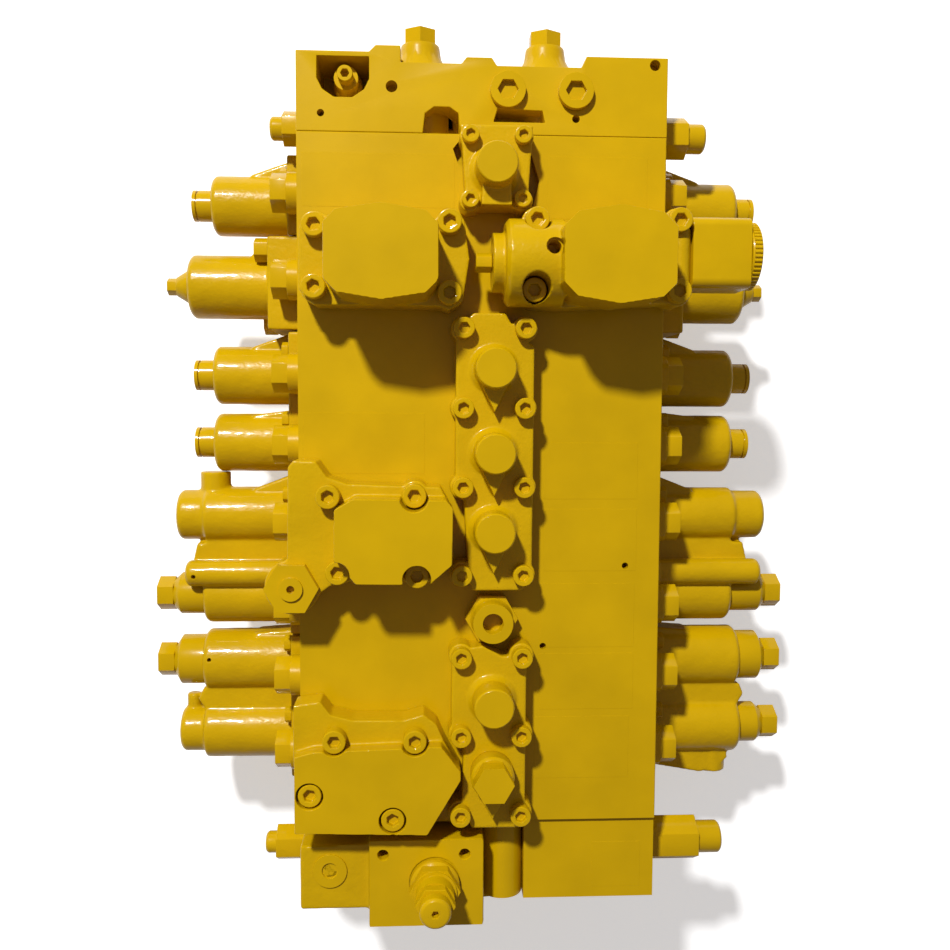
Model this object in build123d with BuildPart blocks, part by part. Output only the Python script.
from build123d import *
import os

os.makedirs("parts", exist_ok=True)

# Spool rows, counted from the inlet end, by the gap to the row before
row_1_y = 235.0
row_gaps = (70.0, 77.0, 59.0, 64.5, 70.5, 60.0, 63.5)
row_y = {1: row_1_y}
for row, gap in enumerate(row_gaps, start=2):
    row_y[row] = row_y[row - 1] - gap

# Main body: one long casting that lies on its back on four feet, +Z out of its front face
half_width = 144.0
back = 10.0
front = 200.0
body_top = row_y[1] + 37.0
body_bottom = row_y[8] - 45.5

# Heights of the two lines of side fittings
spool_z = 95.0
relief_z = 152.0

# Main spools: three lands, a running clearance in the bore, and a stroke each way
spool_radius = 14.0
spool_clearance = 0.04
spool_overhang = 13.0
spool_stroke = 9.0
groove_radius = 9.0
groove_width = 34.0
land_half = 22.0

# Spring chambers in the caps, and the centring springs in the left-hand ones
spring_outer = 15.0
spring_inner = 11.0
chamber_clearance = 2.0
stroke_room = 5.0
single_reach = 228.0
cap_end_wall = 16.0

# Work ports on the back, two for each row: a G 3/4 thread drilled to 24.1 mm, then a passage to the spool
port_radius = 12.05
port_depth = 24.0
port_passage_radius = 9.5
port_x = 62.0

# Feet: four pads with M16 holes, drilled to 14 mm
foot_size = 46.0
foot_spacing_x = 220.0
foot_spacing_y = 470.0
foot_hole_radius = 7.0
foot_hole_depth = 32.0

# Load check valves under the front covers
check_rows = (1, 3, 4, 5, 7, 8)
check_x = 8.0
check_radius = 13.0
check_clearance = 0.05
seat_depth = 48.0
seat_radius = 9.0
seat_gap = 0.1
poppet_tip_radius = 7.0
poppet_length = 28.0
check_spring_outer = 9.0
check_spring_inner = 6.0

# Front covers and valve blocks, and the socket head screws that hold them
cover_thick = 22.0
m8_head_radius = 6.5
m8_head_height = 8.0
m10_head_radius = 8.0
m10_head_height = 10.0
m12_head_radius = 9.0
m12_head_height = 12.0
boss_margin = 1.8
dome_radius = 15.5
dome_rise = 28.0


def side_plane(side, y, z):
    """Plane through an axis along X: local x runs outwards on that side and local y runs up."""
    return Plane(origin=(0, y, z), x_dir=(side, 0, 0), z_dir=(0, -side, 0))


def face_plane(side, reach, y, z):
    """Plane square to X at this reach from the centre: local x runs along +Y."""
    return Plane(origin=(side * reach, y, z), x_dir=(0, 1, 0), z_dir=(side, 0, 0))


def turned(side, y, z, steps):
    """Turned form about an axis along X, from steps of (reach, radius)."""
    with BuildSketch(side_plane(side, y, z)) as profile:
        with BuildLine():
            Polyline((steps[0][0], 0), *steps, (steps[-1][0], 0), close=True)
        make_face()
    revolve(profile.sketch, axis=Axis((0, y, z), (1, 0, 0)))


def turned_up(x, y, steps, mode=Mode.ADD):
    """Turned form about an axis along Z, from steps of (height, radius)."""
    with BuildSketch(Plane(origin=(x, y, 0), x_dir=(1, 0, 0), z_dir=(0, -1, 0))) as profile:
        with BuildLine():
            corners = [(radius, height) for height, radius in steps]
            Polyline((0, corners[0][1]), *corners, (0, corners[-1][1]), close=True)
        make_face()
    revolve(profile.sketch, axis=Axis((x, y, 0), (0, 0, 1)), mode=mode)


def hexagon(plane, across_flats, length, mode=Mode.ADD):
    """Hexagonal prism that stands on a plane."""
    with BuildSketch(plane) as outline:
        RegularPolygon(across_flats / 2, 6, major_radius=False)
    extrude(outline.sketch, amount=length, mode=mode)


def raised(points, low, high, mode=Mode.ADD):
    """Straight-sided form over an outline in the plane of the front face."""
    with BuildSketch(Plane.XY.offset(low)) as outline:
        with BuildLine():
            Polyline(*points, close=True)
        make_face()
    extrude(outline.sketch, amount=high - low, mode=mode)


# Main body casting
with BuildPart() as main_body:
    with BuildSketch(Plane.XY.offset(back)):
        with Locations((0, (body_top + body_bottom) / 2)):
            Rectangle(2 * half_width, body_top - body_bottom)
    extrude(amount=front - back)
    with BuildSketch(Plane.XY):
        with GridLocations(foot_spacing_x, foot_spacing_y, 2, 2):
            Rectangle(foot_size, foot_size)
    extrude(amount=back)
    with BuildSketch(Plane.XY):
        with GridLocations(foot_spacing_x, foot_spacing_y, 2, 2):
            Circle(foot_hole_radius)
    extrude(amount=foot_hole_depth, mode=Mode.SUBTRACT)
    with Locations(*[(0, y, spool_z) for y in row_y.values()]):
        Cylinder(
            spool_radius + spool_clearance, 2 * half_width, rotation=(0, 90, 0), mode=Mode.SUBTRACT
        )
    port_places = [(side * port_x, y) for y in row_y.values() for side in (-1, 1)]
    with BuildSketch(Plane.XY.offset(back)):
        with Locations(*port_places):
            Circle(port_radius)
    extrude(amount=port_depth, mode=Mode.SUBTRACT)
    with BuildSketch(Plane.XY.offset(back)):
        with Locations(*port_places):
            Circle(port_passage_radius)
    extrude(amount=spool_z - back, mode=Mode.SUBTRACT)
    with BuildSketch(Plane.XY.offset(front)):
        with Locations(*[(check_x, row_y[row]) for row in check_rows]):
            Circle(check_radius + check_clearance)
    extrude(amount=-seat_depth, mode=Mode.SUBTRACT)
    with BuildSketch(Plane.XY.offset(front)):
        with Locations(*[(check_x, row_y[row]) for row in check_rows]):
            Circle(seat_radius)
    extrude(amount=spool_z - front, mode=Mode.SUBTRACT)
main_body.part.label = "main_body"
export_step(main_body.part, "parts/main_body.step")

# Spools: one for each row, from cap to cap
spool_reach = half_width + spool_overhang
for row, y in row_y.items():
    with BuildPart() as spool:
        with BuildSketch(side_plane(1, y, spool_z)):
            with BuildLine():
                Polyline(
                    (-spool_reach, 0),
                    (-spool_reach, spool_radius),
                    (-land_half - groove_width, spool_radius),
                    (-land_half - groove_width, groove_radius),
                    (-land_half, groove_radius),
                    (-land_half, spool_radius),
                    (land_half, spool_radius),
                    (land_half, groove_radius),
                    (land_half + groove_width, groove_radius),
                    (land_half + groove_width, spool_radius),
                    (spool_reach, spool_radius),
                    (spool_reach, 0),
                    close=True,
                )
            make_face()
        revolve(axis=Axis((0, y, spool_z), (1, 0, 0)))
    spool.part.label = f"spool_{row}"
    export_step(spool.part, f"parts/spool_{row}.step")

# Centring springs: the space that each coil fills, from the spool's left end to its cap
chamber_reach = single_reach - cap_end_wall
spring_length = chamber_reach - spool_reach
for row, y in row_y.items():
    with BuildPart() as spool_spring:
        with BuildSketch(face_plane(-1, spool_reach, y, spool_z)):
            Circle(spring_outer)
            Circle(spring_inner, mode=Mode.SUBTRACT)
        extrude(amount=spring_length)
    spool_spring.part.label = f"spool_spring_{row}"
    export_step(spool_spring.part, f"parts/spool_spring_{row}.step")

# Load check poppets, each on its seat above a spool, and their springs
seat_z = front - seat_depth
poppet_low = seat_z + seat_gap - (seat_radius - poppet_tip_radius)
poppet_high = poppet_low + poppet_length
for row in check_rows:
    with BuildPart() as check_poppet:
        turned_up(
            check_x,
            row_y[row],
            [
                (poppet_low, poppet_tip_radius),
                (poppet_low + check_radius - poppet_tip_radius, check_radius),
                (poppet_high, check_radius),
            ],
        )
    check_poppet.part.label = f"check_poppet_{row}"
    export_step(check_poppet.part, f"parts/check_poppet_{row}.step")
    with BuildPart() as check_spring:
        with BuildSketch(Plane.XY.offset(poppet_high)):
            with Locations((check_x, row_y[row])):
                Circle(check_spring_outer)
                Circle(check_spring_inner, mode=Mode.SUBTRACT)
        extrude(amount=front - poppet_high)
    check_spring.part.label = f"check_spring_{row}"
    export_step(check_spring.part, f"parts/check_spring_{row}.step")

# Caps over the spool ends: a flange against the body's side and a barrel for each spool
flange_thick = 17.0
flange_half_height = 38.0
flange_above = {1: 36.0, 2: 39.0, 3: 36.0, 4: 28.5, 5: 36.0, 7: 28.5}
flange_below = {1: 30.0, 2: 39.0, 3: 30.0, 4: 27.5, 6: 29.5, 8: 32.5}
edge_radius = 3.0
flare_half = 14.0
flare_reach = 195.0
left_chamber_radius = spring_outer + chamber_clearance
right_chamber_reach = spool_reach + spool_stroke + stroke_room
right_chamber_radius = spool_radius + chamber_clearance
flange_reach = half_width + flange_thick
web_half = 14.0
duct_radius = 11.5
duct_rise = 23.0
duct_above_row = 21.5


def cap(side, barrels, thick=flange_thick, web_reach=0.0, duct_reach=0.0, bosses=()):
    """Cap casting from barrels of (row, steps), with a chamber for each spool's end.

    Two barrels have a web between them and may have a duct along it.
    A boss is (reach, radius, row, height).
    """
    top_row, bottom_row = barrels[0][0], barrels[-1][0]
    high = row_y[top_row] + flange_above[top_row]
    low = row_y[bottom_row] - flange_below[bottom_row]
    with BuildPart() as casting:
        with BuildSketch(face_plane(side, half_width, (high + low) / 2, spool_z)):
            Rectangle(high - low, 2 * flange_half_height)
        extrude(amount=thick)
        for row, steps in barrels:
            turned(side, row_y[row], spool_z, [(half_width, steps[0][1]), *steps])
        top_radius = barrels[0][1][0][1]
        with BuildSketch(Plane.XY.offset(spool_z - flare_half)):
            with BuildLine():
                Polyline(
                    (side * half_width, row_y[top_row]),
                    (side * half_width, high),
                    (side * (half_width + thick + 2), high),
                    (side * flare_reach, row_y[top_row] + top_radius - 1),
                    (side * flare_reach, row_y[top_row]),
                    close=True,
                )
            make_face()
        extrude(amount=2 * flare_half)
        if web_reach:
            with BuildSketch(Plane.XY.offset(spool_z - web_half)):
                with BuildLine():
                    Polyline(
                        (side * half_width, row_y[top_row] - 15),
                        (side * (barrels[0][1][0][0] - 1), row_y[top_row] - 15),
                        (side * (barrels[0][1][0][0] - 1), row_y[top_row] - 24),
                        (side * (web_reach - 4), row_y[top_row] - 24),
                        (side * web_reach, row_y[bottom_row] + 30),
                        (side * (web_reach - 6), row_y[bottom_row] + 20),
                        (side * (barrels[1][1][0][0] - 1), row_y[bottom_row] + 20),
                        (side * (barrels[1][1][0][0] - 1), row_y[bottom_row] + 12),
                        (side * half_width, row_y[bottom_row] + 12),
                        close=True,
                    )
                make_face()
            extrude(amount=2 * web_half)
        if duct_reach:
            turned(side, row_y[bottom_row] + duct_above_row, spool_z + duct_rise, [
                (half_width, duct_radius), (duct_reach - 3, duct_radius), (duct_reach, duct_radius - 3)])
        for reach, radius, row, height in bosses:
            level = min(row_y[row], row_y[row] + height)
            with BuildSketch(Plane.XZ.offset(-level)):
                with Locations((side * reach, spool_z)):
                    Circle(radius)
            extrude(amount=-abs(height))
        for row, steps in barrels:
            if side < 0:
                depth, radius = chamber_reach - half_width, left_chamber_radius
            else:
                depth, radius = right_chamber_reach - half_width, right_chamber_radius
            with BuildSketch(face_plane(side, half_width, row_y[row], spool_z)):
                Circle(radius)
            extrude(amount=depth, mode=Mode.SUBTRACT)
    return casting


def barrel(radius, reach):
    """Steps of a plain barrel with a broken outer edge."""
    return [(reach - edge_radius, radius), (reach, radius - edge_radius)]


def stepped_barrel(radius, reach, end_radius, end_reach):
    """Steps of a barrel with a narrower closed end."""
    return [
        (reach, radius),
        (reach + 2, end_radius),
        (end_reach - edge_radius, end_radius),
        (end_reach, end_radius - edge_radius),
    ]


single_radius = 25.5
row_2_radius = 27.5
left_row_2_reach = 248.5
right_row_2_reach = 236.0
row_2_flange = 34.0

single_rows = (1, 3, 4)
for side, name in ((-1, "left"), (1, "right")):
    singles = [cap(side, [(row, barrel(single_radius, single_reach))]) for row in single_rows]
    with BuildPart() as single_caps:
        for casting in singles:
            add(casting.part)
    single_caps.part.label = f"{name}_single_caps"
    export_step(single_caps.part, f"parts/{name}_single_caps.step")

left_cap_row_2 = cap(-1, [(2, barrel(row_2_radius, left_row_2_reach))], row_2_flange)
left_cap_row_2.part.label = "left_cap_row_2"
export_step(left_cap_row_2.part, "parts/left_cap_row_2.step")
right_cap_row_2 = cap(1, [(2, barrel(row_2_radius, right_row_2_reach))], row_2_flange)
right_cap_row_2.part.label = "right_cap_row_2"
export_step(right_cap_row_2.part, "parts/right_cap_row_2.step")

# Double caps: two barrels with a web between them, and on the upper ones a duct and a boss
left_row_5 = stepped_barrel(25.0, 237.0, 22.0, 262.0)
right_row_5 = stepped_barrel(24.5, 232.0, 21.5, 260.5)
row_6_radius = 26.0
left_row_6_reach = 239.0
right_row_6_reach = 231.0
row_7_radius = 27.0
row_7_reach = 240.0
left_row_8 = stepped_barrel(25.5, 239.0, 20.0, 262.0)
row_8_radius = 26.0
right_row_8_reach = 242.0
row_5_boss = (230.7, 13.0, 5, 38.5)
left_row_8_boss = (252.5, 6.0, 8, 32.5)
right_row_8_boss = (222.0, 12.0, 8, -44.0)
double_caps = {
    "left_double_cap_upper": cap(
        -1, [(5, left_row_5), (6, barrel(row_6_radius, left_row_6_reach))],
        web_reach=249.0, duct_reach=252.0, bosses=[row_5_boss]),
    "right_double_cap_upper": cap(
        1, [(5, right_row_5), (6, barrel(row_6_radius, right_row_6_reach))],
        web_reach=247.0, duct_reach=254.0),
    "left_double_cap_lower": cap(
        -1, [(7, barrel(row_7_radius, row_7_reach)), (8, left_row_8)],
        web_reach=246.0, bosses=[left_row_8_boss]),
    "right_double_cap_lower": cap(
        1, [(7, barrel(row_7_radius, row_7_reach)), (8, barrel(row_8_radius, right_row_8_reach))],
        web_reach=247.0, bosses=[right_row_8_boss]),
}
for name, double_cap in double_caps.items():
    double_cap.part.label = name
    export_step(double_cap.part, f"parts/{name}.step")

# Plugs in the outer ends of the caps: round lipped plugs on the single caps, hexagon plugs on the others
knob_radius = 13.3
knob_length = 18.0
knob_groove = 1.5
plug_across_flats = 26.0
plug_hexagon = 14.0
small_plug_across_flats = 13.0


def end_plug(side, row, seat, collar, hexagon_end):
    """Collar that tapers to a hexagon at the end of a cap's barrel."""
    y = row_y[row]
    turned(side, y, spool_z, [(seat, collar), (hexagon_end - plug_hexagon - 6, collar),
                              (hexagon_end - plug_hexagon, plug_across_flats / 2)])
    hexagon(face_plane(side, hexagon_end - plug_hexagon, y, spool_z), plug_across_flats, plug_hexagon)


with BuildPart() as cap_end_plugs:
    for side in (-1, 1):
        for row in single_rows:
            lip = single_reach + knob_length
            turned(side, row_y[row], spool_z, [
                (single_reach, knob_radius), (lip - 3 * knob_groove, knob_radius),
                (lip - 3 * knob_groove, knob_radius - knob_groove),
                (lip - 2 * knob_groove, knob_radius - knob_groove),
                (lip - 2 * knob_groove, knob_radius), (lip, knob_radius)])
    for side, reach in ((-1, left_row_2_reach), (1, right_row_2_reach)):
        turned(side, row_y[2], spool_z, [(reach, 15.0), (reach + 4, 14.0), (reach + 13, 8.5)])
        hexagon(face_plane(side, reach + 13, row_y[2], spool_z), small_plug_across_flats, 8.0)
    end_plug(-1, 6, left_row_6_reach, 18.5, 281.0)
    end_plug(1, 6, right_row_6_reach, 18.5, 279.0)
    end_plug(-1, 7, row_7_reach, 22.0, 281.0)
    end_plug(1, 7, row_7_reach, 22.0, 279.5)
    end_plug(1, 8, right_row_8_reach, 18.0, 279.5)
cap_end_plugs.part.label = "cap_end_plugs"
export_step(cap_end_plugs.part, "parts/cap_end_plugs.step")

# Cap screws: M8 hexagon heads on the flanges
cap_screw_across_flats = 13.0
cap_screw_head = 6.0
cap_screw_out = 29.0
cap_screw_along = 20.5
row_2_screw_across_flats = 18.0
row_2_screw_head = 12.0
row_2_screw_out = 24.0
row_2_screw_along = 29.0


def cap_screws_on(side, y, reach, along, out, across_flats, head, ways=(1, -1)):
    """Cap screws above and below a barrel."""
    for way in ways:
        place = face_plane(side, reach, y + way * along, spool_z + way * out)
        hexagon(place, across_flats, head)


with BuildPart() as cap_screws:
    for side in (-1, 1):
        for row in (1, 3, 4, 5, 6, 7, 8):
            cap_screws_on(side, row_y[row], flange_reach, cap_screw_along, cap_screw_out,
                          cap_screw_across_flats, cap_screw_head, (-1,) if row == 6 else (1, -1))
        cap_screws_on(side, row_y[2], half_width + row_2_flange, row_2_screw_along, row_2_screw_out,
                      row_2_screw_across_flats, row_2_screw_head)
cap_screws.part.label = "cap_screws"
export_step(cap_screws.part, "parts/cap_screws.step")

# Port relief cartridges: hexagon heads in the body's sides beside each cap
cartridge_across_flats = 28.0
cartridge_collar = 17.0
cartridge_collar_reach = half_width + 13.0
cartridge_reach = half_width + 26.0
with BuildPart() as port_relief_valves:
    for side in (-1, 1):
        for y in row_y.values():
            with BuildSketch(face_plane(side, half_width, y, relief_z)):
                Circle(cartridge_collar)
            extrude(amount=cartridge_collar_reach - half_width)
            hexagon(
                face_plane(side, cartridge_collar_reach, y, relief_z),
                cartridge_across_flats,
                cartridge_reach - cartridge_collar_reach,
            )
port_relief_valves.part.label = "port_relief_valves"
export_step(port_relief_valves.part, "parts/port_relief_valves.step")

# Inlet manifold: bolted across the top end, with two plug bosses and two flanged pump ports
manifold_top = body_top + 53.0
manifold_edge = body_top + 60.5
boss_x = (-49.0, 52.0)
plug_boss_radius = 15.5
plug_boss_foot = 26.0
plug_boss_y = body_top + 78.5
plug_boss_z = 160.0
pocket_left = -128.0
pocket_right = -88.0
pocket_floor_y = body_top + 26.0
pocket_depth = 52.0
pocket_wall = 4.0
window_depth = 26.0
pump_flange_y = body_top + 64.5
pump_port_z = 68.0
pump_port_radius = 16.0
pump_port_depth = 40.0
flange_bolt_x = 66.7
flange_bolt_z = 31.8
flange_bolt_radius = 6.0
flange_bolt_depth = 24.0
flange_margin = 13.0
socket_plug_x = (18.7, 71.5)
socket_plug_y = body_top + 32.8
socket_plug_radius = 13.7
with BuildPart() as inlet_manifold:
    with BuildSketch(Plane.XY.offset(back)):
        with BuildLine():
            Polyline(
                (-half_width, body_top),
                (-half_width, manifold_edge),
                (pocket_right, manifold_edge),
                (pocket_right + 5, manifold_edge + 5),
                (-64, manifold_edge + 5),
                (-64, manifold_top),
                (-17, manifold_top),
                (-13, manifold_top + 5),
                (6.5, manifold_top + 5),
                (10.5, manifold_top - 1),
                (76, manifold_top - 1),
                (80, manifold_edge),
                (half_width, manifold_edge),
                (half_width, body_top),
                close=True,
            )
        make_face()
    extrude(amount=front - back)
    raised(
        [
            (pocket_left, pocket_floor_y + 14),
            (pocket_left + 4, pocket_floor_y + 6),
            (pocket_left + 13, pocket_floor_y),
            (pocket_right - 13, pocket_floor_y),
            (pocket_right - 4, pocket_floor_y + 6),
            (pocket_right, pocket_floor_y + 14),
            (pocket_right, manifold_edge - pocket_wall),
            (pocket_left, manifold_edge - pocket_wall),
        ],
        front - pocket_depth,
        front,
        Mode.SUBTRACT,
    )
    raised(
        [
            (-46.8, body_top),
            (-18, body_top),
            (-19.4, body_top + 15.5),
            (-26.3, body_top + 20),
            (-38, body_top + 20),
            (-45, body_top + 15),
        ],
        front - window_depth,
        front,
        Mode.SUBTRACT,
    )
    raised(
        [(8, body_top + 9.5), (48, body_top + 9.5), (46, body_top + 18.5), (11, body_top + 19.5)],
        front - window_depth,
        front,
        Mode.SUBTRACT,
    )
    for x in boss_x:
        with BuildSketch(Plane(origin=(x, 0, plug_boss_z))):
            with BuildLine():
                Polyline(
                    (0, body_top),
                    (plug_boss_foot, body_top),
                    (plug_boss_foot, manifold_top - 1),
                    (plug_boss_radius + 1.5, plug_boss_y - 10),
                    (plug_boss_radius, plug_boss_y),
                    (0, plug_boss_y),
                    close=True,
                )
            make_face()
        revolve(axis=Axis((x, 0, plug_boss_z), (0, 1, 0)))
        with BuildSketch(Plane.XZ.offset(-pump_flange_y)):
            with Locations((x, pump_port_z)):
                Rectangle(flange_bolt_x + 2 * flange_margin, flange_bolt_z + 2 * flange_margin)
        extrude(amount=pump_flange_y - body_top)
    with BuildSketch(Plane.XZ.offset(-pump_flange_y)):
        with Locations(*[(x, pump_port_z) for x in boss_x]):
            Circle(pump_port_radius)
    extrude(amount=pump_port_depth, mode=Mode.SUBTRACT)
    with BuildSketch(Plane.XZ.offset(-pump_flange_y)):
        with Locations(*[(x, pump_port_z) for x in boss_x]):
            with GridLocations(flange_bolt_x, flange_bolt_z, 2, 2):
                Circle(flange_bolt_radius)
    extrude(amount=flange_bolt_depth, mode=Mode.SUBTRACT)
inlet_manifold.part.label = "inlet_manifold"
export_step(inlet_manifold.part, "parts/inlet_manifold.step")

# Outlet end block: bolted across the right of the bottom end, with a round column beside the relief block
end_left = 2.5
end_bottom = body_bottom - 67.5
end_front = front - 4.0
column_radius = 17.0
tank_port_x = 90.0
tank_port_z = 80.0
tank_port_radius = 19.0
tank_port_depth = 40.0
tank_bolt_x = 69.8
tank_bolt_z = 35.7
tank_bolt_radius = 5.1
tank_bolt_depth = 22.0
with BuildPart() as end_block:
    raised(
        [
            (end_left, body_bottom),
            (end_left, end_bottom - 7.5),
            (end_left + 14, end_bottom - 6.5),
            (end_left + 28, end_bottom),
            (half_width, end_bottom),
            (half_width, body_bottom),
        ],
        back,
        end_front - column_radius,
    )
    raised(
        [
            (end_left + 2 * column_radius, body_bottom),
            (end_left + 2 * column_radius, end_bottom),
            (half_width, end_bottom),
            (half_width, body_bottom),
        ],
        end_front - column_radius,
        end_front,
    )
    with BuildSketch(Plane.XZ.offset(-body_bottom)):
        with Locations((end_left + column_radius, end_front - column_radius)):
            Circle(column_radius)
    extrude(amount=body_bottom - end_bottom)
    with BuildSketch(Plane.XZ.offset(-end_bottom)):
        with Locations((tank_port_x, tank_port_z)):
            Circle(tank_port_radius)
    extrude(amount=-tank_port_depth, mode=Mode.SUBTRACT)
    with BuildSketch(Plane.XZ.offset(-end_bottom)):
        with Locations((tank_port_x, tank_port_z)):
            with GridLocations(tank_bolt_x, tank_bolt_z, 2, 2):
                Circle(tank_bolt_radius)
    extrude(amount=-tank_bolt_depth, mode=Mode.SUBTRACT)
end_block.part.label = "end_block"
export_step(end_block.part, "parts/end_block.step")

# Relief block: bolted across the left of the bottom end, carrying the main relief valve
relief_step = -88.5
relief_low = body_bottom - 66.5
relief_lowest = body_bottom - 76.5
relief_base = front - 30.0
relief_left_top = front + 10.0
relief_middle_top = front + 20.0
relief_left_start = body_bottom - 14.5
relief_middle_start = body_bottom - 6.0
relief_x = -36.5
relief_y = body_bottom - 41.0
tapped_holes = [(-77.4, body_bottom - 18), (-12.8, body_bottom - 18.3)]
tapped_radius = 4.3
tapped_depth = 18.0
with BuildPart() as relief_block:
    raised(
        [
            (-half_width, body_bottom),
            (-half_width, relief_low),
            (relief_step, relief_low),
            (relief_step, relief_lowest),
            (end_left, relief_lowest),
            (end_left, body_bottom),
        ],
        back,
        relief_base,
    )
    raised(
        [
            (-half_width, relief_left_start),
            (-half_width, relief_low),
            (relief_step, relief_low),
            (relief_step, relief_left_start + 2),
        ],
        relief_base,
        relief_left_top,
    )
    raised(
        [
            (relief_step, relief_middle_start),
            (relief_step, relief_lowest),
            (end_left, relief_lowest),
            (end_left, relief_middle_start),
        ],
        relief_base,
        relief_middle_top,
    )
    with BuildSketch(Plane.XY.offset(relief_middle_top)):
        with Locations(*tapped_holes):
            Circle(tapped_radius)
    extrude(amount=-tapped_depth, mode=Mode.SUBTRACT)
relief_block.part.label = "relief_block"
export_step(relief_block.part, "parts/relief_block.step")

# Stacked hexagon fittings at the four corners of the sides, by side, Y, and hexagon sizes and reaches
fitting_z = 150.0
corner_fittings = (
    (-1, 287.0, 25.0, 160.5, 19.0, 171.0),
    (1, 285.0, 30.0, 171.0, 24.0, 187.0),
    (-1, -312.0, 27.0, 170.5, 18.0, 180.0),
    (1, -314.0, 34.0, 191.5, 27.0, 213.0),
)
with BuildPart() as corner_plugs:
    for side, y, wide, step, narrow, tip in corner_fittings:
        hexagon(face_plane(side, half_width, y, fitting_z), wide, step - half_width)
        turned(side, y, fitting_z, [(step, narrow / 2), (tip - 2, narrow / 2), (tip, narrow / 2 - 2)])
corner_plugs.part.label = "corner_plugs"
export_step(corner_plugs.part, "parts/corner_plugs.step")

# Main relief valve: screwed cartridge, lock nut and the adjuster that turns in both
relief_ring_radius = 19.5
cartridge_top = relief_middle_top + 30.0
stem_radius = 7.0
stem_clearance = 0.06
stem_depth = 12.0
nut_height = 8.0
nose_radius = 12.0
nose_height = 11.0
with BuildPart() as relief_cartridge:
    turned_up(relief_x, relief_y, [
        (relief_middle_top, relief_ring_radius), (relief_middle_top + 5, relief_ring_radius),
        (relief_middle_top + 7, 17.0), (cartridge_top - 12, 17.0), (cartridge_top - 12, 15.0),
        (cartridge_top, 15.0)])
    hexagon(Plane(origin=(relief_x, relief_y, relief_middle_top + 7)), 34.5, 9.0)
    with BuildSketch(Plane(origin=(relief_x, relief_y, cartridge_top))):
        Circle(stem_radius + stem_clearance)
    extrude(amount=-stem_depth, mode=Mode.SUBTRACT)
relief_cartridge.part.label = "relief_cartridge"
export_step(relief_cartridge.part, "parts/relief_cartridge.step")

with BuildPart() as relief_lock_nut:
    hexagon(Plane(origin=(relief_x, relief_y, cartridge_top)), 27.0, nut_height)
    with BuildSketch(Plane(origin=(relief_x, relief_y, cartridge_top))):
        Circle(stem_radius + stem_clearance)
    extrude(amount=nut_height, mode=Mode.SUBTRACT)
relief_lock_nut.part.label = "relief_lock_nut"
export_step(relief_lock_nut.part, "parts/relief_lock_nut.step")

nut_top = cartridge_top + nut_height
with BuildPart() as relief_adjuster:
    turned_up(relief_x, relief_y, [
        (cartridge_top - stem_depth + 2, stem_radius), (nut_top, stem_radius),
        (nut_top, nose_radius), (nut_top + nose_height - 2, nose_radius),
        (nut_top + nose_height, nose_radius - 2)])
    hexagon(Plane(origin=(relief_x, relief_y, nut_top + nose_height)), 5.0, -6.0, Mode.SUBTRACT)
relief_adjuster.part.label = "relief_adjuster"
export_step(relief_adjuster.part, "parts/relief_adjuster.step")

# Check covers: flat castings along the centre line, with a boss for each screw and a dome for each check
cover_top = front + cover_thick
dome_foot = 4.0
ridge_rise = 12.0


def front_cover(outline, screws, head_radius, domes, ridges):
    """Cover casting from its outline, screw places, dome places and the cast ridges under the domes."""
    with BuildPart() as casting:
        with BuildSketch(Plane.XY.offset(front)):
            with BuildLine():
                Polyline(*outline, close=True)
            make_face()
            with Locations(*screws):
                Circle(head_radius + boss_margin)
        extrude(amount=cover_thick)
        for x, y in domes:
            turned_up(x, y, [
                (front + cover_thick / 2, dome_radius + dome_foot),
                (cover_top, dome_radius + dome_foot), (cover_top + dome_foot, dome_radius),
                (cover_top + dome_rise - 1.5, dome_radius), (cover_top + dome_rise, dome_radius - 1.5)])
        for points in ridges:
            raised(points, front + cover_thick / 2, cover_top + ridge_rise)
    return casting


def ridge_under(x, y, half, start, drop):
    """Outline of a ridge that narrows to a point below a dome or plug."""
    return [(x - half, y - start), (x, y - drop), (x + half, y - start)]


single_screws = [(-10.9, row_y[1] + 29.2), (28.7, row_y[1] + 29.2), (-10.9, row_y[1] - 18.5),
                 (28.5, row_y[1] - 17.7)]
single_outline = [(-18.5, row_y[1] + 38), (36.5, row_y[1] + 38), (35, row_y[1] + 14),
                  (32.5, row_y[1] - 24), (-14, row_y[1] - 24), (-16.5, row_y[1] + 14)]
single_dome = (check_x, row_y[1] + 4)
single_ridge = [(-1.5, row_y[1] + 4), (18.5, row_y[1] + 4), (20, row_y[1] - 24), (-3, row_y[1] - 24)]
check_cover_single = front_cover(
    single_outline, single_screws, m8_head_radius, [single_dome], [single_ridge]
)
check_cover_single.part.label = "check_cover_single"
export_step(check_cover_single.part, "parts/check_cover_single.step")

triple_screws = [(-15.2, row_y[3] + 32.5), (31.7, row_y[3] + 32.5), (-15.5, row_y[4] + 31),
                 (31.5, row_y[4] + 31), (-15.7, row_y[5] + 35), (31.3, row_y[5] + 35),
                 (-16.3, row_y[5] - 33), (31, row_y[5] - 33)]
triple_outline = [(-21, row_y[3] + 33), (-7.5, row_y[3] + 44.5), (16.5, row_y[3] + 44.5),
                  (27, row_y[3] + 26.5), (39, row_y[3] + 19.5), (38.5, row_y[5] - 34.5),
                  (31, row_y[5] - 46), (-8, row_y[5] - 46), (-12, row_y[5] - 20.5),
                  (-14.5, row_y[5] + 23.5), (-21.5, row_y[5] + 35)]
triple_domes = [(check_x, row_y[3] + 1.8), (check_x, row_y[4] - 3), (check_x, row_y[5] + 2)]
triple_ridges = [ridge_under(x, y, 11, 10, 33) for x, y in triple_domes]
check_cover_triple = front_cover(
    triple_outline, triple_screws, m10_head_radius, triple_domes, triple_ridges
)
check_cover_triple.part.label = "check_cover_triple"
export_step(check_cover_triple.part, "parts/check_cover_triple.step")

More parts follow.
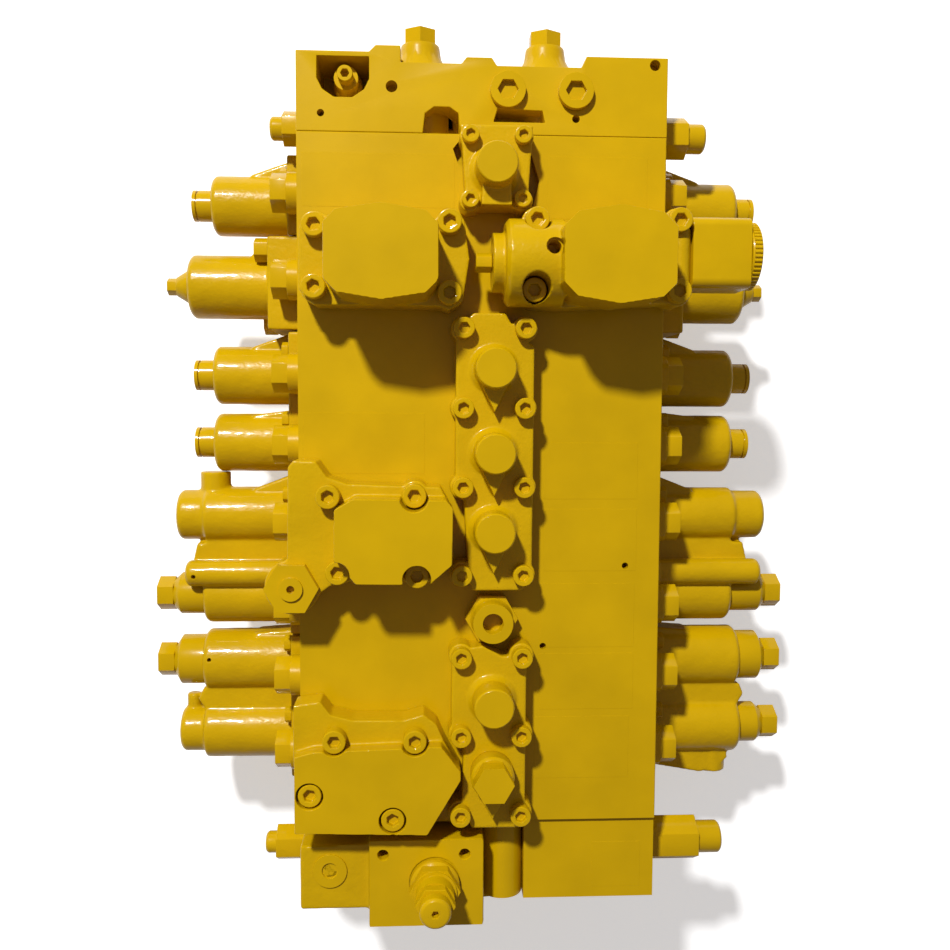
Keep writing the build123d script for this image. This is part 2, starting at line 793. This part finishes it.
double_screws = [(-16.3, row_y[7] + 33), (30.8, row_y[7] + 33), (-16.5, row_y[8] + 34.5),
                 (30.5, row_y[8] + 34.5), (-16.7, row_y[8] - 29), (30.4, row_y[8] - 29)]
double_outline = [(-23.5, row_y[7] + 37.5), (0.5, row_y[7] + 41), (15.5, row_y[7] + 32.5),
                  (35, row_y[7] + 32.5), (34.5, row_y[8] - 30), (28, row_y[8] - 42),
                  (-7.5, row_y[8] - 41.5), (-15.5, row_y[8] - 22.5), (-14, row_y[8] + 26.5),
                  (-24, row_y[8] + 37)]
double_dome = (check_x, row_y[7] - 1)
hex_plug_place = (check_x, row_y[8] + 4)
check_cover_double = front_cover(
    double_outline,
    double_screws,
    m10_head_radius,
    [double_dome],
    [ridge_under(*hex_plug_place, 9, 18, 34)],
)
check_cover_double.part.label = "check_cover_double"
export_step(check_cover_double.part, "parts/check_cover_double.step")

# Valve blocks on the front face: a flange with screw bosses and a thick machined top
block_boss = m12_head_radius + boss_margin
seat_recess = m12_head_radius + 1.5
flange_a = 30.0
top_a = 80.0
centre_a = row_y[2] + 4.0
screws_a = [(-126.6, centre_a + 25), (-127, centre_a - 20), (-26.7, centre_a + 28.5),
            (-26.6, centre_a - 23.5)]


def barrel_top(left, right, middle, half, bulge, corner):
    """Top outline of an upper block: a rectangle with cut corners whose long sides swell to a ridge."""
    centre = (left + right) / 2
    return [
        (left, middle - half + corner),
        (left + corner, middle - half),
        (centre, middle - half - bulge),
        (right - corner, middle - half),
        (right, middle - half + corner),
        (right, middle + half - corner),
        (right - corner, middle + half),
        (centre, middle + half + bulge),
        (left + corner, middle + half),
        (left, middle + half - corner),
    ]


with BuildPart() as upper_left_block:
    with BuildSketch(Plane.XY.offset(front)):
        with Locations(*screws_a):
            Circle(block_boss)
        with BuildLine():
            Polyline(
                (-139, centre_a - 21),
                (-138.5, centre_a + 25),
                (-126.5, centre_a + 37),
                (-114, centre_a + 32),
                (-33, centre_a + 32),
                (-26, centre_a + 40),
                (-15.5, centre_a + 32),
                (-11.5, centre_a + 2.5),
                (-16, centre_a - 26),
                (-27, centre_a - 36),
                (-33.5, centre_a - 33),
                (-114.5, centre_a - 32.5),
                (-127.5, centre_a - 32.5),
                close=True,
            )
        make_face()
    extrude(amount=flange_a)
    raised(barrel_top(-116, -35.3, centre_a, 28.5, 5, 9), front + flange_a, front + top_a)
    with BuildSketch(Plane.XY.offset(front + flange_a)):
        with Locations(*screws_a):
            Circle(seat_recess)
    extrude(amount=top_a, mode=Mode.SUBTRACT)
upper_left_block.part.label = "upper_left_block"
export_step(upper_left_block.part, "parts/upper_left_block.step")

screws_b = [(38.3, centre_a + 31), (36.5, centre_a - 21), (145.6, centre_a + 32), (145.9, centre_a - 20.3)]
flange_b = 30.0
gauge_port = (48.8, centre_a + 7.7)
gauge_port_radius = 5.0
gauge_port_depth = 40.0
barrel_b_y = centre_a - 0.5
barrel_b_z = front + 32.5
case_left = 157.0
barrel_b_radius = 32.5
with BuildPart() as upper_right_block:
    with BuildSketch(Plane.XY.offset(front)):
        with Locations(*screws_b):
            Circle(block_boss)
        with BuildLine():
            Polyline(
                (17, centre_a - 26.5),
                (17.5, centre_a + 23),
                (27.5, centre_a + 31),
                (145.5, centre_a + 32),
                (case_left, centre_a + 23),
                (case_left, centre_a - 14.5),
                (145.5, centre_a - 28.5),
                (57, centre_a - 33.5),
                (37, centre_a - 32.5),
                close=True,
            )
        make_face()
    extrude(amount=flange_b)
    turned(1, barrel_b_y, barrel_b_z, [
        (5.2, 22.0), (14.2, 22.0), (14.2, barrel_b_radius - 4), (17.2, barrel_b_radius),
        (58.0, barrel_b_radius)])
    raised(barrel_top(53.2, 134, centre_a, 29.7, 5, 10), front + flange_b, front + top_a)
    with BuildSketch(Plane.XY.offset(front + flange_b)):
        with Locations(*screws_b):
            Circle(seat_recess)
    extrude(amount=top_a, mode=Mode.SUBTRACT)
    with BuildSketch(Plane.XY.offset(front + top_a)):
        with Locations(gauge_port):
            Circle(gauge_port_radius)
    extrude(amount=-gauge_port_depth, mode=Mode.SUBTRACT)
upper_right_block.part.label = "upper_right_block"
export_step(upper_right_block.part, "parts/upper_right_block.step")

# Solenoid on the right-hand end of the upper right block, with its knurled nut
case_right = 202.2
case_low = front - 10.0
case_high = front + 35.0
case_y = centre_a + 9.7
case_half = 26.5
case_z = (case_low + case_high) / 2
stub_radius = 8.0
stub_length = 6.0
stub_clearance = 0.06
nut_radius = 26.0
solenoid_nut_thick = 8.0
with BuildPart() as solenoid_case:
    with BuildSketch(face_plane(1, case_left, case_y, case_z)):
        RectangleRounded(2 * case_half, case_high - case_low, 7.0)
    extrude(amount=case_right - case_left)
    with BuildSketch(face_plane(1, case_right, case_y, case_z)):
        Circle(stub_radius)
    extrude(amount=stub_length)
solenoid_case.part.label = "solenoid_case"
export_step(solenoid_case.part, "parts/solenoid_case.step")

with BuildPart() as solenoid_nut:
    with BuildSketch(face_plane(1, case_right + 0.3, case_y, case_z)):
        Circle(nut_radius)
    extrude(amount=solenoid_nut_thick)
    with BuildSketch(face_plane(1, case_right + 0.3, case_y, case_z)):
        Circle(stub_radius + stub_clearance)
    extrude(amount=stub_length, mode=Mode.SUBTRACT)
solenoid_nut.part.label = "solenoid_nut"
export_step(solenoid_nut.part, "parts/solenoid_nut.step")

# Middle left block, with a lobe at its lower left corner for a hexagon plug
flange_c = 32.0
top_c = 60.0
screws_c = [(-117.2, row_y[5] + 29), (-52.6, row_y[5] + 29.7), (-110.3, row_y[5] - 28.2),
            (-50.6, row_y[5] - 30.9)]
lobe_c = (-145.3, row_y[5] - 40.8)
lobe_radius = 21.0
with BuildPart() as middle_left_block:
    with BuildSketch(Plane.XY.offset(front)):
        with Locations(lobe_c):
            Circle(lobe_radius)
        with Locations(*screws_c):
            Circle(block_boss)
        with BuildLine():
            Polyline(
                (-148, row_y[5] + 50.5),
                (-144, row_y[5] + 55.5),
                (-127, row_y[5] + 55),
                (-118.5, row_y[5] + 43),
                (-103.5, row_y[5] + 38),
                (-33, row_y[5] + 35.5),
                (-27, row_y[5] + 25),
                (-25.5, row_y[5] - 23),
                (-38.5, row_y[5] - 37),
                (-99.5, row_y[5] - 36),
                (-116.5, row_y[5] - 40),
                (-129.5, row_y[5] - 49.5),
                (-149.5, row_y[5] - 49.5),
                close=True,
            )
        make_face()
    extrude(amount=flange_c)
    raised(
        [
            (-111, row_y[5] + 21),
            (-97, row_y[5] + 29),
            (-29, row_y[5] + 28),
            (-24, row_y[5] + 22),
            (-24.5, row_y[5] - 20),
            (-41.5, row_y[5] - 35),
            (-95.5, row_y[5] - 34),
            (-103.5, row_y[5] - 25),
            (-111.5, row_y[5] - 23),
        ],
        front + flange_c,
        front + top_c,
    )
    with BuildSketch(Plane.XY.offset(front + flange_c)):
        with Locations(*screws_c):
            Circle(seat_recess)
    extrude(amount=top_c, mode=Mode.SUBTRACT)
middle_left_block.part.label = "middle_left_block"
export_step(middle_left_block.part, "parts/middle_left_block.step")

# Lower left block: a thick plate with four recessed screws and a neck above it
neck_d = 26.0
top_d = 40.0
screws_d_neck = [(-113.9, row_y[8] + 34.4), (-52.2, row_y[8] + 33.6)]
screws_d_plate = [(-132.6, row_y[8] - 7.2), (-69.2, row_y[8] - 27.3)]
with BuildPart() as lower_left_block:
    with BuildSketch(Plane.XY.offset(front)):
        with Locations(*screws_d_neck, screws_d_plate[1]):
            Circle(block_boss)
        with BuildLine():
            Polyline(
                (-146, row_y[8] + 59.5),
                (-125.5, row_y[8] + 62.5),
                (-117.5, row_y[8] + 52),
                (-100.5, row_y[8] + 47.5),
                (-61.5, row_y[8] + 47),
                (-45.5, row_y[8] + 51.5),
                (-35.5, row_y[8] + 43.5),
                (-29.5, row_y[8] + 30),
                (-16.5, row_y[8] + 6.5),
                (-42, row_y[8] - 39.5),
                (-144, row_y[8] - 36),
                (-146.5, row_y[8] + 21.5),
                close=True,
            )
        make_face()
    extrude(amount=neck_d)
    raised(
        [
            (-144, row_y[8] + 23.5),
            (-130, row_y[8] + 27.5),
            (-32, row_y[8] + 30.5),
            (-17, row_y[8] + 10.5),
            (-17, row_y[8] + 3.5),
            (-42.5, row_y[8] - 39),
            (-144, row_y[8] - 36),
        ],
        front + neck_d,
        front + top_d,
    )
    with BuildSketch(Plane.XY.offset(front + neck_d)):
        with Locations(*screws_d_neck, *screws_d_plate):
            Circle(seat_recess)
    extrude(amount=top_d, mode=Mode.SUBTRACT)
lower_left_block.part.label = "lower_left_block"
export_step(lower_left_block.part, "parts/lower_left_block.step")

# Socket plugs in the manifold, in its open pocket and in the relief block
pocket_x = -106.6
pocket_y = body_top + 44.0
with BuildPart() as socket_plugs:
    turned_up(pocket_x, pocket_y, [
        (front - pocket_depth, 11.5), (front - 30, 11.5), (front - 26, 9.5), (front - 12, 9.5),
        (front - 12, 6.0), (front, 6.0)])
    hexagon(Plane(origin=(pocket_x, pocket_y, front)), 6.0, -8.0, Mode.SUBTRACT)
    for x, y, seat, rise in (
        (socket_plug_x[0], socket_plug_y, front, 6.0),
        (socket_plug_x[1], socket_plug_y, front, 6.0),
        (-120.2, body_bottom - 34.4, relief_left_top, 1.5),
    ):
        turned_up(x, y, [(seat, socket_plug_radius), (seat + rise, socket_plug_radius)])
        if rise > 2:
            hexagon(Plane(origin=(x, y, seat + rise)), 14.0, -rise + 1, Mode.SUBTRACT)
socket_plugs.part.label = "socket_plugs"
export_step(socket_plugs.part, "parts/socket_plugs.step")

# Hexagon plugs: lower cover, middle left block, manifold bosses and the outlet end block
with BuildPart() as hexagon_plugs:
    x, y = hex_plug_place
    turned_up(x, y, [(cover_top, 17.0), (cover_top + 14, 17.0), (cover_top + 16, 15.0)])
    hexagon(Plane(origin=(x, y, cover_top + 16)), 27.0, 14.0)
    hexagon(Plane(origin=(*lobe_c, front + flange_c)), 36.0, 8.0)
    turned_up(*lobe_c, [(front + flange_c + 8, 9.0), (front + flange_c + 10, 9.0)])
    for x in boss_x:
        hexagon(Plane(origin=(x, plug_boss_y, plug_boss_z), z_dir=(0, 1, 0)), 24.0, 12.0)
    with BuildSketch(Plane.XZ.offset(-end_bottom)):
        with Locations((51.0, 150.0)):
            Circle(10.0)
    extrude(amount=6.0)
hexagon_plugs.part.label = "hexagon_plugs"
export_step(hexagon_plugs.part, "parts/hexagon_plugs.step")

# Row 6 has a hollow screwed fitting in place of a cover
with BuildPart() as row_6_fitting:
    x, y = check_x, row_y[6]
    hexagon(Plane(origin=(x, y, front)), 36.0, 12.0)
    turned_up(x, y, [(front + 12, 17.0), (front + 16, 15.5), (front + 30, 15.5)])
    with BuildSketch(Plane(origin=(x, y, front + 30))):
        Circle(8.0)
    extrude(amount=-14.0, mode=Mode.SUBTRACT)
row_6_fitting.part.label = "row_6_fitting"
export_step(row_6_fitting.part, "parts/row_6_fitting.step")

# Socket head screws of the covers and blocks: each head on its spot face
m8_seats = [(x, y, cover_top) for x, y in single_screws]
m10_seats = [(x, y, cover_top) for x, y in triple_screws + double_screws]
m12_seats = (
    [(x, y, front + flange_a) for x, y in screws_a]
    + [(x, y, front + flange_b) for x, y in screws_b]
    + [(x, y, front + flange_c) for x, y in screws_c]
    + [(x, y, front + neck_d) for x, y in screws_d_neck + screws_d_plate]
)
screw_sets = (
    (m8_seats, m8_head_radius, m8_head_height),
    (m10_seats, m10_head_radius, m10_head_height),
    (m12_seats, m12_head_radius, m12_head_height),
)
with BuildPart() as front_screws:
    for seats, head_radius, head_height in screw_sets:
        for x, y, seat in seats:
            with BuildSketch(Plane.XY.offset(seat)):
                with Locations((x, y)):
                    Circle(head_radius)
            extrude(amount=head_height)
front_screws.part.label = "front_screws"
export_step(front_screws.part, "parts/front_screws.step")
